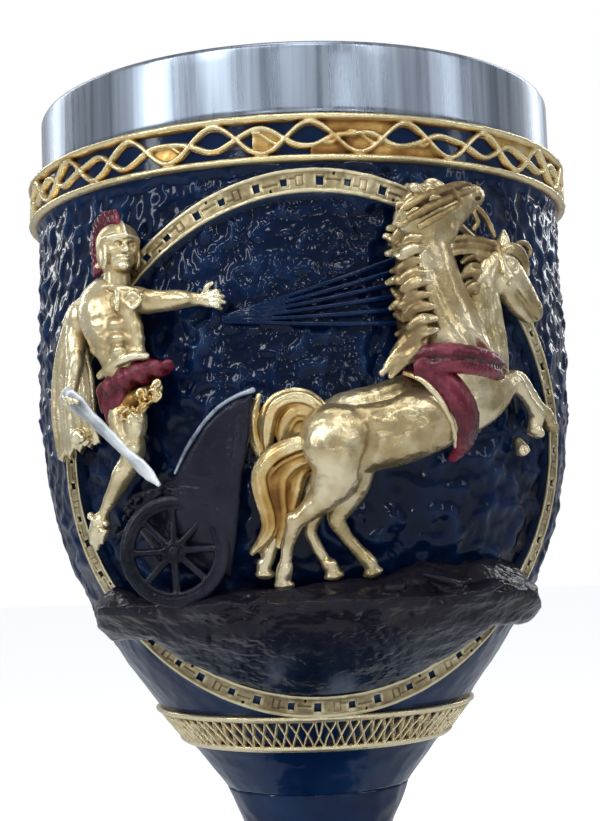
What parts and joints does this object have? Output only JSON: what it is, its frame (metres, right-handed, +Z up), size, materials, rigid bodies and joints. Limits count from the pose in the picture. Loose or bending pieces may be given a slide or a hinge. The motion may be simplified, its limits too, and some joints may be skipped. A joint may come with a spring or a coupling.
{
  "type": "stemmed goblet",
  "caption": "Stemmed resin goblet with a loose steel liner and a raised chariot scene in a round frame.",
  "frame": {"origin": "centre of the base pad's underside, where the goblet rests", "axes": "+Z up along the cup's axis, the relief scene faces -Y, +X to the viewer's right"},
  "size_m": [0.08, 0.0846, 0.178],
  "materials": {
    "steel": "brushed along the axis",
    "navy_resin": "hammered, gloss navy enamel",
    "gold_paint": "gold paint with brown patina",
    "crimson_paint": "satin crimson paint",
    "pale_paint": "pale silver paint",
    "dark_paint": "near-black brown paint",
    "rod_steel": "plain",
    "felt": "black felt"
  },
  "bodies": {
    "goblet": {"bowl_casting": "navy_resin", "stem_casting": "navy_resin", "foot_casting": "navy_resin", "stem_rod": "rod_steel", "base_pad": "felt", "upper_band": "gold_paint", "lower_band": "gold_paint", "foot_band": "gold_paint", "medallion_ring": "gold_paint", "ground_ledge": "dark_paint", "chariot_wheel": "dark_paint", "chariot_car": "dark_paint", "near_horse": "gold_paint", "far_horse": "gold_paint", "near_tail": "gold_paint", "far_tail": "gold_paint", "near_mane": "gold_paint", "far_mane": "gold_paint", "chest_strap": "crimson_paint", "girth_strap": "crimson_paint", "charioteer_body": "gold_paint", "charioteer_head": "gold_paint", "helmet_crest": "crimson_paint", "kilt": "crimson_paint", "kilt_fringe": "gold_paint", "cape": "gold_paint", "sword": "pale_paint", "reins": "navy_resin"},
    "liner": {"liner_cup": "steel"}
  },
  "joints": [
    {"name": "liner_lift", "type": "slide", "parent": "goblet", "child": "liner", "axis": [0, 0, 1], "range_m": [0, 0.075]}
  ]
}
